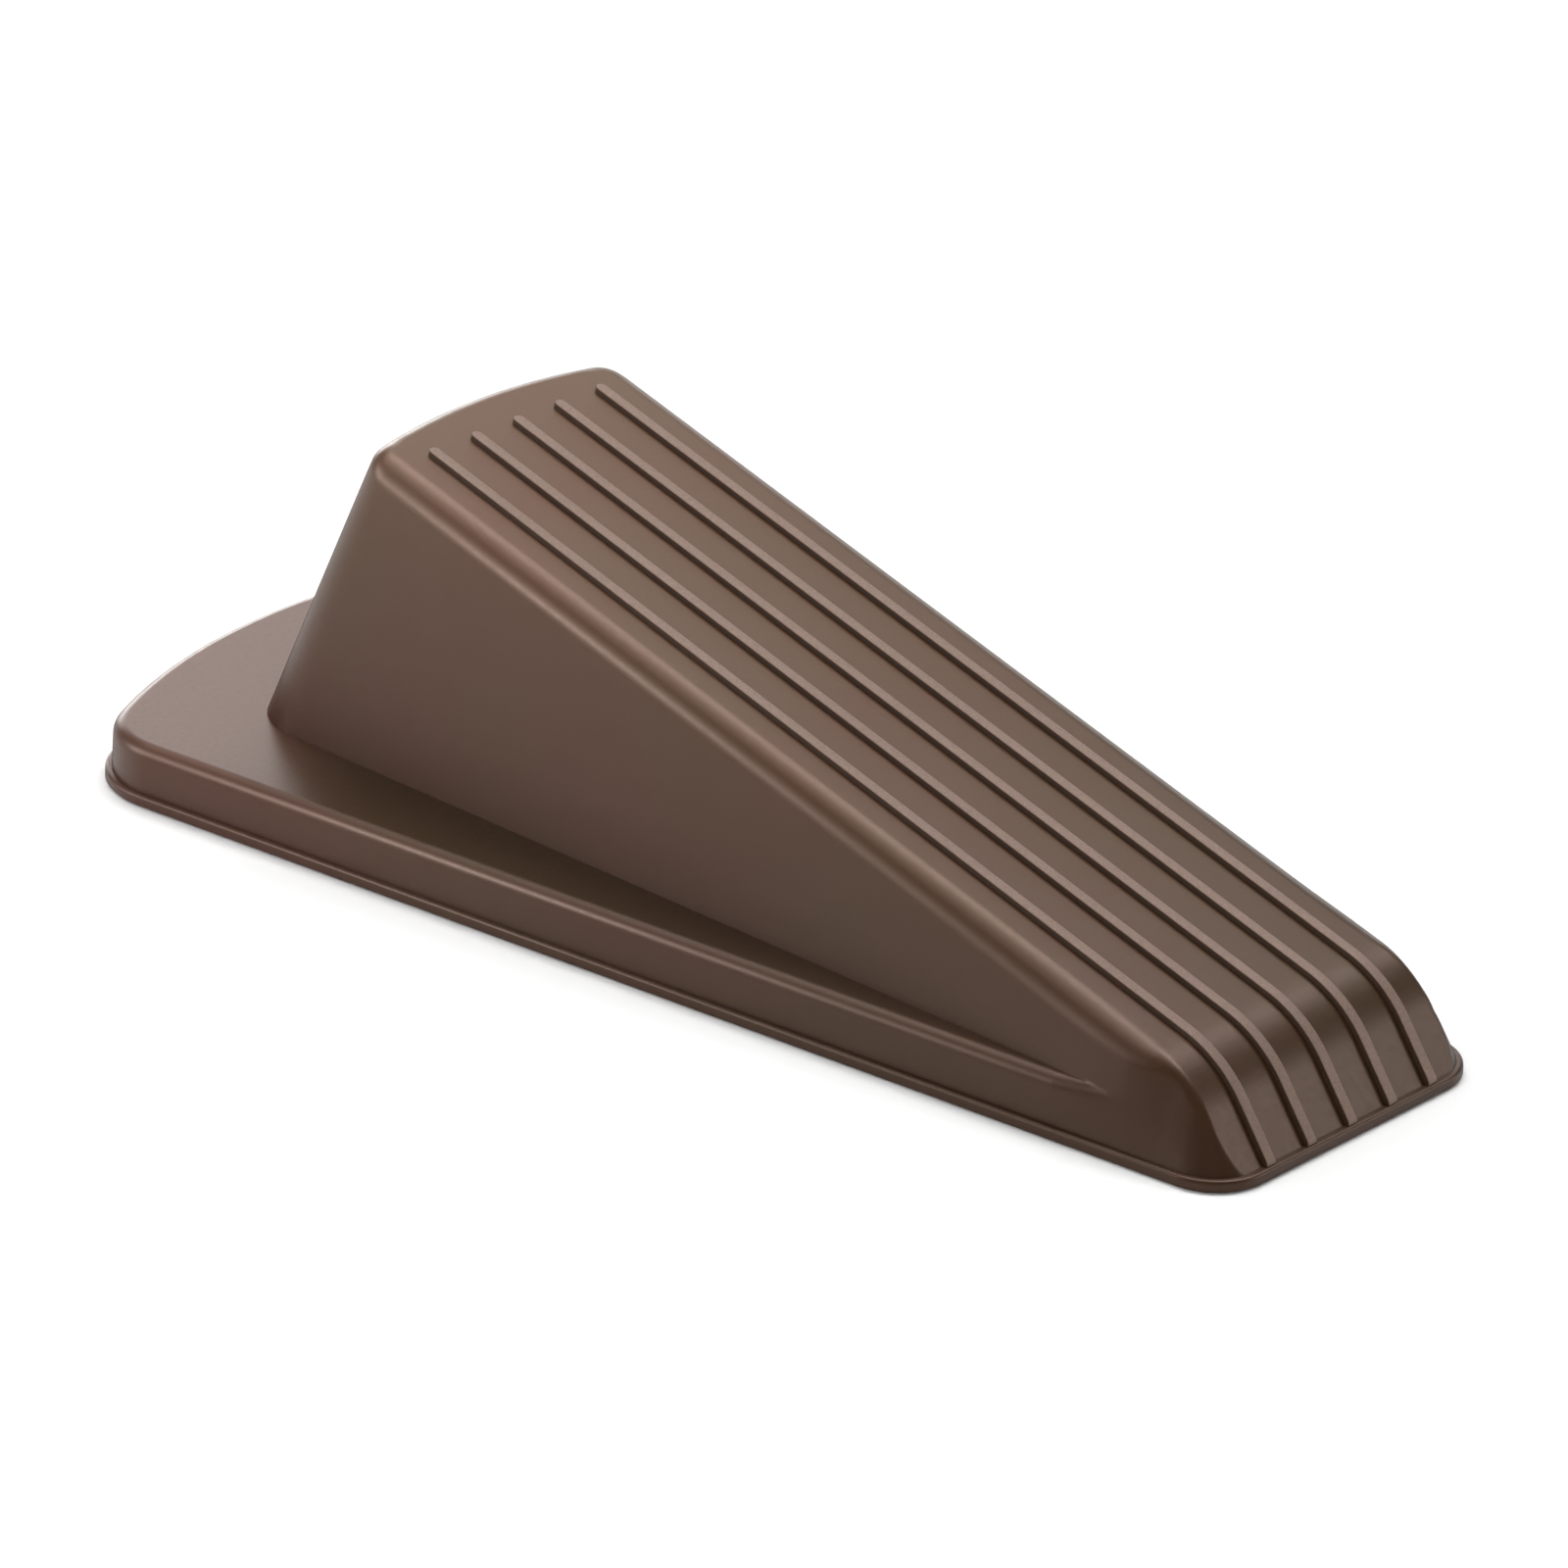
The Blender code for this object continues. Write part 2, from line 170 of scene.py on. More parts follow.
# Lamps, each as name, bearing from +X towards +Y, height above the floor and width, all in degrees,
# and power. Fill lamps give only the even light, sheen lamps only the shine
FILL_LAMPS = (
    ("key", 60, 66, 26, 1.18),
    ("high_right", 0, 66, 26, 1.18),
    ("low_back", 60, 3, 26, 0.52),
    ("low_left", 240, 3, 26, 0.51),
    ("left", 225, 20, 26, 0.48),
    ("back", 105, 20, 26, 0.47),
    ("high_back", 120, 42, 26, 0.40),
    ("low_right", 30, 3, 26, 0.26),
    ("front_left", 255, 20, 26, 0.23),
    ("back_right", 80, 42, 26, 0.19),
    ("back_left", 160, 42, 26, 0.17),
    ("top_back", 120, 66, 26, 0.12),
)
SHEEN_LAMPS = (
    ("low_back_sheen", 60, 3, 26, 1.60),
    ("back_left_sheen", 135, 20, 26, 1.70),
    ("high_right_sheen", 0, 66, 26, 1.65),
    ("key_sheen", 60, 66, 26, 1.15),
    ("front_right_sheen", 315, 20, 26, 0.70),
    ("bend_sheen", 8, 48, 8, 0.20),
    ("high_back_sheen", 120, 66, 26, 0.53),
    ("low_front_right_sheen", 330, 3, 26, 0.30),
    ("low_front_sheen", 300, 3, 26, 0.30),
    ("low_right_sheen", 30, 3, 26, 0.37),
    ("right_sheen", 45, 20, 26, 0.33),
    ("back_right_sheen", 40, 42, 26, 0.14),
)
WORLD_GLOW = 0.08

# Small lamp for the shine along the ramp's edge, at a distance from a point near that edge
EDGE_LAMP_NEAR = (-14.3 * MM, 12.0 * MM, 26.0 * MM)
EDGE_LAMP_WAY = (152, 14)
EDGE_LAMP_DISTANCE = 110.0 * MM
EDGE_LAMP_RADIUS = 10.0 * MM
EDGE_LAMP_POWER = 0.17

# Floor, and camera with its azimuth, elevation and roll in degrees
FLOOR_REACH = 4.0
FLOOR_Z = -0.02 * MM
FLOOR_COLOR = (0.95, 0.95, 0.95, 1)
FLOOR_ROUGHNESS = 0.8
CAMERA_TURNS = (-47.12, 25.79, 1.61)
CAMERA_TARGET = (-1.94 * MM, -1.15 * MM, 10.0 * MM)
CAMERA_DISTANCE = 685.8 * MM
CAMERA_SENSOR = 36.0
CAMERA_LENS = 195.83
CAMERA_CLIP = (0.01, 50.0)

# Lines, centres and slopes that follow from the sizes
BODY_LOW = LIP_TOP - EMBED
NOSE_FOOT_Y = TOE_Y + NOSE_SETBACK
KNEE_Y = (
    HEIGHT - CROWN_HEEL_Y * math.tan(RAMP_ANGLE) - LIP_TOP + NOSE_FOOT_Y * math.tan(NOSE_ANGLE)
) / (math.tan(NOSE_ANGLE) - math.tan(RAMP_ANGLE))
BEND_REACH = NOSE_RADIUS * math.tan((NOSE_ANGLE - RAMP_ANGLE) / 2)
BEND_START_Y = KNEE_Y + BEND_REACH * math.cos(RAMP_ANGLE)
BEND_END_Y = KNEE_Y - BEND_REACH * math.cos(NOSE_ANGLE)
BEND_CENTRE_Y = BEND_START_Y + NOSE_RADIUS * math.sin(RAMP_ANGLE)
BEND_CENTRE_Z = (
    HEIGHT + (BEND_START_Y - CROWN_HEEL_Y) * math.tan(RAMP_ANGLE) - NOSE_RADIUS * math.cos(RAMP_ANGLE)
)
TOE_CENTRE = (TOE_FLAT_WIDTH / 2, TOE_Y + CORNER_RADIUS)
HEEL_ARC_Y = HEEL_Y - HEEL_ARC_RADIUS
HEEL_X = HALF_WIDTH - HEEL_ROUND_RADIUS
HEEL_CENTRE = (HEEL_X, HEEL_ARC_Y + math.sqrt((HEEL_ARC_RADIUS - HEEL_ROUND_RADIUS) ** 2 - HEEL_X ** 2))
SPLAY = math.atan2(HEEL_CENTRE[0] - TOE_CENTRE[0], HEEL_CENTRE[1] - TOE_CENTRE[1]) + math.asin(
    (HEEL_ROUND_RADIUS - CORNER_RADIUS) / math.dist(HEEL_CENTRE, TOE_CENTRE)
)
SIDE_WAY = (math.cos(-SPLAY), math.sin(-SPLAY))
HEEL_TURN = math.atan2(HEEL_CENTRE[1] - HEEL_ARC_Y, HEEL_X)
HEEL_LEAN = (ROOT_HEEL_APEX_Y - HEEL_TOP_Y) / (HEIGHT - FOOT_TOP)
ROOT_SLOPE = (ROOT_HEEL_HALF_WIDTH - ROOT_TOE_HALF_WIDTH) / (ROOT_HEEL_Y - ROOT_TOE_Y)
NARROWING_START_Y = BEND_START_Y + 2.0 * MM
NARROWING_END_Y = BEND_START_Y - 3.0 * MM
CROWN_LOW_Y = NOSE_FOOT_Y - EMBED / math.tan(NOSE_ANGLE)

# Numbers of rows and columns
TOE_ARC_STEPS = 22
SIDE_STEPS = 40
HEEL_ROUND_STEPS = 30
HEEL_ARC_STEPS = 24
LIP_STEPS = 8
NOSE_ROWS = 26
BEND_ROWS = 22
FADE_ROWS = 26
RAMP_ROWS = 44
ACROSS = 20
EDGE_STEPS = 14
WALL_STEPS = 14
SKIRT_STEPS = 12
SKIRT_LOW_STEPS = 4
CORNER_COLUMNS = 14
RIB_TOE_STEPS = 8
RIB_NOSE_STEPS = 8
RIB_BEND_STEPS = 22
RIB_RAMP_STEPS = 60
RIB_END_STEPS = 10
RIB_EDGE_STEPS = 5
RIB_BASE_ROWS = 2
RIB_TOP_ROW = 4

# Steps and reaches of the solving, and limits of the meshes
RAY_STEPS = 44
HALVING_STEPS = 30
SETTLING_STEPS = 12
EDGE_REACH = 8.0 * MM
SIDE_REACH = 16.0 * MM
SIDE_RAY_X = 6.0 * MM
HEEL_REACH = 12.0 * MM
LEAST_SHARE = 0.0001
WELD = 0.0005 * MM
SHARP_ANGLE = 28


def blend(start, end, amount):
    return start + (end - start) * amount


def smooth_step(value, start, end):
    amount = min(max((value - start) / (end - start), 0.0), 1.0)
    return amount * amount * (3 - 2 * amount)


# The crown, which is the ramp, the bend and the nose, seen from the side

def crown_z(y):
    """The crown's height."""
    if y >= BEND_START_Y:
        return HEIGHT + (y - CROWN_HEEL_Y) * math.tan(RAMP_ANGLE)
    if y <= BEND_END_Y:
        return LIP_TOP + (y - NOSE_FOOT_Y) * math.tan(NOSE_ANGLE)
    return BEND_CENTRE_Z + math.sqrt(NOSE_RADIUS ** 2 - (y - BEND_CENTRE_Y) ** 2)


def crown_angle(y):
    """The crown's slope, as an angle."""
    if y >= BEND_START_Y:
        return RAMP_ANGLE
    if y <= BEND_END_Y:
        return NOSE_ANGLE
    return math.asin((BEND_CENTRE_Y - y) / NOSE_RADIUS)


def crown_depth(y, z):
    """Distance of a point below the crown."""
    dy, dz = y - BEND_CENTRE_Y, z - BEND_CENTRE_Z
    if dz > 0 and RAMP_ANGLE < math.atan2(-dy, dz) < NOSE_ANGLE:
        return NOSE_RADIUS - math.hypot(dy, dz)
    return NOSE_RADIUS - max(
        dz * math.cos(RAMP_ANGLE) - dy * math.sin(RAMP_ANGLE),
        dz * math.cos(NOSE_ANGLE) - dy * math.sin(NOSE_ANGLE),
    )


def nose_share(y):
    """How far the crown has changed from the ramp's width and edge to the nose's."""
    return smooth_step(y, NARROWING_START_Y, NARROWING_END_Y)


def edge_half_width(y):
    """Half the crown's width, to the line where it would meet the sides with no rounding."""
    return blend(RAMP_EDGE_HALF_WIDTH, NOSE_EDGE_HALF_WIDTH, nose_share(y))


# The outline of the sole, seen from above

def outline_half_width(y):
    """Half the sole's width, along its toe's corner and its side."""
    if y >= TOE_CENTRE[1] - CORNER_RADIUS * math.sin(SPLAY):
        return TOE_CENTRE[0] + (CORNER_RADIUS + (y - TOE_CENTRE[1]) * math.sin(SPLAY)) / math.cos(SPLAY)
    return TOE_CENTRE[0] + math.sqrt(max(CORNER_RADIUS ** 2 - (y - TOE_CENTRE[1]) ** 2, 0.0))


def outline_depth(x, y):
    """Distance of a point inside the outline's toe, corner or side."""
    dx, dy = x - TOE_CENTRE[0], y - TOE_CENTRE[1]
    if dx > 0 and dy < 0 and math.atan2(dx, -dy) < math.pi / 2 - SPLAY:
        return CORNER_RADIUS - math.hypot(dx, dy)
    return CORNER_RADIUS - max(dx * math.cos(SPLAY) - dy * math.sin(SPLAY), -dy)


def outline():
    """Right half of the outline, from the toe's corner to the heel's apex, as (point, outward direction)."""
    points = []

    def arc(centre, radius, start, end, steps):
        for step in range(steps + 1):
            turn = blend(start, end, step / steps)
            away = (math.cos(turn), math.sin(turn))
            points.append(((centre[0] + radius * away[0], centre[1] + radius * away[1]), away))

    arc(TOE_CENTRE, CORNER_RADIUS, -math.pi / 2, -SPLAY, TOE_ARC_STEPS)
    start_x, start_y = points[-1][0]
    end_x = HEEL_CENTRE[0] + HEEL_ROUND_RADIUS * SIDE_WAY[0]
    end_y = HEEL_CENTRE[1] + HEEL_ROUND_RADIUS * SIDE_WAY[1]
    for step in range(1, SIDE_STEPS):
        share = step / SIDE_STEPS
        points.append(((blend(start_x, end_x, share), blend(start_y, end_y, share)), SIDE_WAY))
    arc(HEEL_CENTRE, HEEL_ROUND_RADIUS, -SPLAY, HEEL_TURN, HEEL_ROUND_STEPS)
    arc((0.0, HEEL_ARC_Y), HEEL_ARC_RADIUS, HEEL_TURN, math.pi / 2, HEEL_ARC_STEPS)
    return points


# The walls of the foot and the wedge, as distances inside them

def foot_inset(z):
    """How far the foot's wall lies inside the outline."""
    start = FOOT_TOP - FOOT_ROUND
    if z <= start:
        return LIP_REACH + FOOT_DRAFT * max(z - LIP_TOP, 0.0) / (start - LIP_TOP)
    reach = math.sqrt(max(FOOT_ROUND ** 2 - (z - start) ** 2, 0.0))
    return LIP_REACH + FOOT_DRAFT + FOOT_ROUND - reach


def flank_slope(y):
    """How much the flank of the toe leans out, from the crown's edge down to the lip."""
    y = max(y, BEND_END_Y)
    return (outline_half_width(y) - LIP_REACH - edge_half_width(y)) / (crown_z(y) - LIP_TOP)


def root_half_width(y):
    """Half the wedge's width where it stands on the foot."""
    return blend(ROOT_TOE_HALF_WIDTH, ROOT_HEEL_HALF_WIDTH, (y - ROOT_TOE_Y) / (ROOT_HEEL_Y - ROOT_TOE_Y))


def side_lean(y):
    """How much the wedge's side leans in for each step up."""
    return (root_half_width(y) - edge_half_width(y)) / max(crown_z(y) - FOOT_TOP, LEAST_RISE)


def side_half_width(y, z):
    """Half the wedge's width, on a straight line from its root on the foot to the crown's edge."""
    lean = side_lean(y)
    if z < FOOT_TOP:
        lean = min(lean, SUNK_LEAN_LIMIT)
    return root_half_width(y) - lean * (z - FOOT_TOP)


def heel_grade(x):
    """Slope of the heel face, seen from above."""
    return x / math.sqrt(HEEL_ARC_RADIUS ** 2 - x ** 2)


def heel_y(x, z):
    """Where the wedge's heel face stands, at a height."""
    apex = ROOT_HEEL_APEX_Y - HEEL_LEAN * (z - FOOT_TOP)
    return apex - HEEL_ARC_RADIUS + math.sqrt(HEEL_ARC_RADIUS ** 2 - x ** 2)


def rounded(first, second, radius, cosine):
    """Distance inside two walls whose outward directions have that cosine, with their edge rounded."""
    p, q = radius - first, radius - second
    if p - q * cosine <= 0 or q - p * cosine <= 0:
        return min(first, second)
    return radius - math.sqrt((p * p + q * q - 2 * p * q * cosine) / (1 - cosine * cosine))


def side_depth(x, y, z):
    """Distance inside the side: the wedge's own side, or at the toe the flank that runs down to the lip."""
    plane = (side_half_width(y, z) - x) / math.hypot(1, side_lean(y))
    share = smooth_step(y, FLANK_FADE_START_Y, FLANK_FADE_END_Y)
    if z < FOOT_TOP:
        plane = max(plane, outline_depth(x, y) - foot_inset(z))
    if share == 0:
        return plane
    slope = flank_slope(y)
    inset = LIP_REACH + slope * max(z - LIP_TOP, 0.0)
    flank = (outline_depth(x, y) - inset) / math.hypot(1, slope)
    return blend(plane, flank, share)


def heel_depth(x, y, z):
    """Distance inside the heel face."""
    return (heel_y(x, z) - y) / math.sqrt(1 + HEEL_LEAN ** 2 + heel_grade(x) ** 2)


def corner_radius(z):
    """Radius of the rounding between the side and the heel face, at a height."""
    return blend(ROOT_CORNER_RADIUS, TOP_CORNER_RADIUS, (z - FOOT_TOP) / (HEIGHT - FOOT_TOP))


def heel_corner(z):
    """Centre of the rounding between the side and the heel face, at a height."""
    y = CROWN_HEEL_Y
    radius = corner_radius(z)
    for _ in range(SETTLING_STEPS):
        x = side_half_width(y, z) - radius
        y = heel_y(x, z) - radius * math.sqrt(1 + HEEL_LEAN ** 2 + heel_grade(x) ** 2)
    return x, y


def corner_edge_radius(turn):
    """Radius of the rounding along the crown's edge, at a turn around the heel's corner."""
    return blend(RAMP_EDGE_RADIUS, HEEL_EDGE_RADIUS, smooth_step(turn, 0.0, CORNER_TURN))


def edge_radius(x, y, z):
    """Radius of the rounding between the crown and the walls."""
    if y < 0:
        return blend(RAMP_EDGE_RADIUS, NOSE_EDGE_RADIUS, nose_share(y))
    corner_x, corner_y = heel_corner(z)
    return corner_edge_radius(math.atan2(y - corner_y, max(x - corner_x, 0.0) + CORNER_GUARD))


def wall_depth(x, y, z):
    """Distance inside the side and the heel, with the corner between them rounded."""
    side = side_depth(x, y, z)
    if y < CORNERS_START_Y:
        return side
    side_way = Vector((1, -ROOT_SLOPE, side_lean(y)))
    heel_way = Vector((heel_grade(x), 1, HEEL_LEAN))
    cosine = side_way.normalized().dot(heel_way.normalized())
    return rounded(side, heel_depth(x, y, z), corner_radius(z), cosine)


def body_depth(point):
    """Distance inside the wedge, above 0 inside it and below 0 outside."""
    x, y, z = abs(point[0]), point[1], point[2]
    cosine = SIDE_COSINE
    if y < FLANK_FADE_START_Y:
        share = smooth_step(y, FLANK_FADE_START_Y, FLANK_FADE_END_Y)
        lean = math.atan(blend(SIDE_LEAN, flank_slope(y), share))
        turn = math.atan2(max(TOE_CENTRE[1] - y, 0.0), max(x - TOE_CENTRE[0], TOE_GUARD))
        angle = crown_angle(y)
        cosine = math.sin(lean) * math.cos(angle) + math.cos(lean) * math.sin(turn) * math.sin(angle)
        cosine = min(cosine, COSINE_LIMIT)
    return rounded(crown_depth(y, z), wall_depth(x, y, z), edge_radius(x, y, z), cosine)


def surface_point(inside, direction, reach=EDGE_REACH):
    """The point where a ray from inside the wedge leaves it."""
    low, high = 0.0, reach
    for _ in range(RAY_STEPS):
        middle = (low + high) / 2
        if body_depth(inside + direction * middle) > 0:
            low = middle
        else:
            high = middle
    return inside + direction * low


# Mesh helpers

def new_piece(name, bm, node, material):
    """Makes the visual piece that rides the root body in a CAD node's place."""
    bmesh.ops.remove_doubles(bm, verts=bm.verts, dist=WELD)
    bmesh.ops.dissolve_degenerate(bm, edges=bm.edges, dist=WELD)
    bmesh.ops.recalc_face_normals(bm, faces=bm.faces)
    mesh = bpy.data.meshes.new(name)
    bm.to_mesh(mesh)
    bm.free()
    mesh.shade_smooth()
    mesh.set_sharp_from_angle(angle=math.radians(SHARP_ANGLE))
    mesh.materials.append(material)
    piece = bpy.data.objects.new(name, mesh)
    bpy.context.scene.collection.objects.link(piece)
    weighted = piece.modifiers.new("even_shading", "WEIGHTED_NORMAL")
    weighted.keep_sharp = True
    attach(piece, "root")
    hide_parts(node)


def strip(bm, first, second):
    """Joins two rows of vertices with quads."""
    for index in range(len(first) - 1):
        bm.faces.new((first[index], first[index + 1], second[index + 1], second[index]))


def ring_strip(bm, first, second):
    """Joins two closed rings of vertices with quads."""
    for index in range(len(first)):
        after = (index + 1) % len(first)
        bm.faces.new((first[index], first[after], second[after], second[index]))


# The pieces

def build_sole(material):
    """The sole: a thin plate whose rounded edge is the lip around the foot."""
    right = outline()
    wall_middle = (SOLE_CHAMFER + LIP_TOP - LIP_ROUND) / 2
    rings = [(0.0, SOLE_CHAMFER), (SOLE_CHAMFER, 0.0), (wall_middle, 0.0)]
    for step in range(LIP_STEPS + 1):
        turn = step / LIP_STEPS * math.pi / 2
        rings.append((LIP_TOP - LIP_ROUND * (1 - math.sin(turn)), LIP_ROUND * (1 - math.cos(turn))))
    rings.append((LIP_TOP, LIP_REACH + SOLE_OVERLAP))
    bm = bmesh.new()
    loops = []
    for z, inset in rings:
        half = [(x - nx * inset, y - ny * inset) for (x, y), (nx, ny) in right]
        points = half + [(-x, y) for x, y in reversed(half[:-1])]
        loops.append([bm.verts.new((x, y, z)) for x, y in points])
    for lower, upper in zip(loops, loops[1:]):
        ring_strip(bm, lower, upper)
    bm.faces.new(loops[0])
    bm.faces.new(loops[-1])
    new_piece("rubber_sole", bm, "sole_pad", material)


def crown_stations():
    """(y, tilt) of the wedge's cross-sections from the nose's foot to the heel, and the number of the one
    where the foot starts."""
    ys = [blend(CROWN_LOW_Y, BEND_END_Y, (i / NOSE_ROWS) ** 2) for i in range(NOSE_ROWS)]
    for i in range(BEND_ROWS):
        angle = blend(NOSE_ANGLE, RAMP_ANGLE, i / BEND_ROWS)
        ys.append(BEND_CENTRE_Y - NOSE_RADIUS * math.sin(angle))
    split_y = foot_split_y()
    ys += [blend(BEND_START_Y, split_y, i / FADE_ROWS) for i in range(FADE_ROWS)]
    split = len(ys)
    end_y = heel_corner(HEIGHT - RAMP_EDGE_RADIUS)[1] - RAMP_END_GAP
    ys += [blend(split_y, end_y, i / RAMP_ROWS) for i in range(RAMP_ROWS + 1)]
    heel_tilt = math.atan2(heel_corner(FOOT_TOP)[1] - heel_corner(HEIGHT)[1], HEIGHT - FOOT_TOP)
    tilts = [
        crown_angle(y) if y < 0 else blend(RAMP_ANGLE, heel_tilt, smooth_step(y, 0.0, end_y)) for y in ys
    ]
    return list(zip(ys, tilts)), split


def foot_split_y():
    """Where, on the crown, the cross-section stands whose root meets the foot's rounded edge."""
    y = FLANK_FADE_START_Y
    for _ in range(SETTLING_STEPS):
        gap = root_half_width(y) - (outline_half_width(y) - foot_inset(FOOT_TOP) / math.cos(SPLAY))
        y += gap / (math.tan(SPLAY) - ROOT_SLOPE)
    return y - (crown_z(y) - FOOT_TOP) * math.sin(RAMP_ANGLE) * math.cos(RAMP_ANGLE)


def crease_z(y):
    """Height at which the wedge's side would meet the foot's rounded edge, near the toe."""
    y = max(y, FLANK_FADE_END_Y)
    low, high = FOOT_TOP - FOOT_ROUND, FOOT_TOP
    for _ in range(HALVING_STEPS):
        z = (low + high) / 2
        foot = outline_half_width(y) - foot_inset(z) / math.cos(SPLAY)
        if foot > side_half_width(y, z):
            low = z
        else:
            high = z
    return low


# The wedge's cross-sections, each of which leaves the crown at y and goes down at a tilt

def depth_to(y, tilt, z):
    """The depth in the cross-section at which it reaches a level."""
    return (crown_z(y) - z) / math.cos(tilt)


def side_point(y, tilt, depth):
    """The point on the side, at a depth in the cross-section."""
    inside = Vector((SIDE_RAY_X, y + depth * math.sin(tilt), crown_z(y) - depth * math.cos(tilt)))
    return surface_point(inside, Vector((1, 0, 0)), SIDE_REACH)


def edge_points(centre, crown_way, wall_way, share=1.0):
    """Points over the rounded edge, from the crown to the wall."""
    angle = math.acos(max(-1.0, min(1.0, crown_way.dot(wall_way))))
    points = []
    for step in range(EDGE_STEPS + 1):
        turn = angle * share * step / EDGE_STEPS
        way = (crown_way * math.sin(angle - turn) + wall_way * math.sin(turn)) / math.sin(angle)
        points.append(surface_point(centre, way))
    return points


def section(y, tilt, is_toe):
    """Right half of the wedge's cross-section, from the crown's flat to its lowest point."""
    full = depth_to(y, tilt, BODY_LOW if is_toe else FOOT_TOP)
    radius = blend(RAMP_EDGE_RADIUS, NOSE_EDGE_RADIUS, nose_share(y))
    lean = WALL_LEAN
    edge_x = edge_half_width(y)
    if y < BEND_END_Y:
        lean = math.atan(flank_slope(y))
        edge_x = min(edge_x, outline_edge_x(y))
    reach = radius * (1 - math.sin(lean)) / math.cos(lean)
    angle = crown_angle(y)
    centre = Vector((
        edge_x - reach, y + radius * math.sin(angle), crown_z(y) - radius * math.cos(angle),
    ))
    crown_way = Vector((0, -math.sin(angle), math.cos(angle)))
    wall_way = Vector((math.cos(lean), -math.sin(lean) * math.sin(tilt), math.sin(lean) * math.cos(tilt)))
    share = 1.0
    if full < radius / ROUNDING_ROOM:
        share = math.acos(1 - ROUNDING_ROOM * max(full, 0.0) / radius) / (math.pi / 2 - lean)
        share = min(max(share, LEAST_SHARE), 1.0)
    points = edge_points(centre, crown_way, wall_way, share)
    start = depth_to(y, tilt, points[-1].z)
    wall_end = full
    if is_toe:
        wall_end = max(crease_depth(y, tilt), blend(start, full, CREASE_ROOM))
    for step in range(1, WALL_STEPS + 1):
        points.append(side_point(y, tilt, blend(start, wall_end, step / WALL_STEPS)))
    if not is_toe:
        return points + [sunk(points[-1])]
    for step in range(1, SKIRT_STEPS + SKIRT_LOW_STEPS + 1):
        points.append(side_point(y, tilt, blend(wall_end, full, skirt_share(step))))
    return points


def sunk(point):
    """The point straight below, a little inside the foot."""
    return Vector((point.x, point.y, FOOT_TOP - EMBED))


def outline_edge_x(y):
    """Where the nose would meet the flank, with no rounding, at y."""
    inset = LIP_REACH + flank_slope(y) * max(crown_z(y) - LIP_TOP, 0.0)
    radius = CORNER_RADIUS - inset
    away = y - TOE_CENTRE[1]
    if away < -radius * math.sin(SPLAY):
        return TOE_CENTRE[0] + math.sqrt(max(radius ** 2 - away ** 2, 0.0))
    return TOE_CENTRE[0] + (radius + away * math.sin(SPLAY)) / math.cos(SPLAY)


def crease_depth(y, tilt):
    """The depth in the cross-section of the crease between the wedge's side and the foot."""
    depth = depth_to(y, tilt, FOOT_TOP)
    for _ in range(SETTLING_STEPS):
        depth = depth_to(y, tilt, crease_z(y + depth * math.sin(tilt)))
    return depth


def skirt_share(step):
    """Places along the skirt, from the crease to its low end, closest together on the foot's rounding."""
    rounding = FOOT_ROUND / (FOOT_TOP - BODY_LOW)
    if step <= SKIRT_STEPS:
        return rounding * (1 - math.cos(step / SKIRT_STEPS * math.pi / 2))
    return blend(rounding, 1.0, (step - SKIRT_STEPS) / SKIRT_LOW_STEPS)


def corner_plan(turn):
    """How a column at a turn around the heel's corner stands at a height: centre, outward way, reach."""
    def plan(z):
        corner_x, corner_y = heel_corner(z)
        away = Vector((math.cos(turn), math.sin(turn), 0))
        return Vector((corner_x, corner_y, z)), away, corner_radius(z)
    return plan


def face_plan(x_share):
    """The same for a column on the heel face, at a share of the way from the middle to the corner."""
    def plan(z):
        x = heel_corner(z)[0] * x_share
        away = Vector((heel_grade(x), 1, 0)).normalized()
        return Vector((x, heel_y(x, z) - corner_radius(z), z)), away, corner_radius(z)
    return plan


def heel_column(plan, radius):
    """A column down the heel, over the crown's edge, rounded by that radius, to the foot."""
    z = HEIGHT
    crown_way = Vector((0, -math.sin(RAMP_ANGLE), math.cos(RAMP_ANGLE)))
    for _ in range(SETTLING_STEPS):
        base, away, room = plan(z)
        centre = base + away * (room - radius)
        z = crown_z(centre.y) - radius / math.cos(RAMP_ANGLE)
    centre.z = z
    lean = math.atan(HEEL_LEAN) * away.y + SIDE_LEAN * away.x
    wall_way = (away * math.cos(lean) + Vector((0, 0, math.sin(lean)))).normalized()
    points = edge_points(centre, crown_way, wall_way)
    start = points[-1].z
    for step in range(1, WALL_STEPS + 1):
        base, away, _ = plan(blend(start, FOOT_TOP, step / WALL_STEPS))
        points.append(surface_point(base, away, HEEL_REACH))
    return points + [sunk(points[-1])]


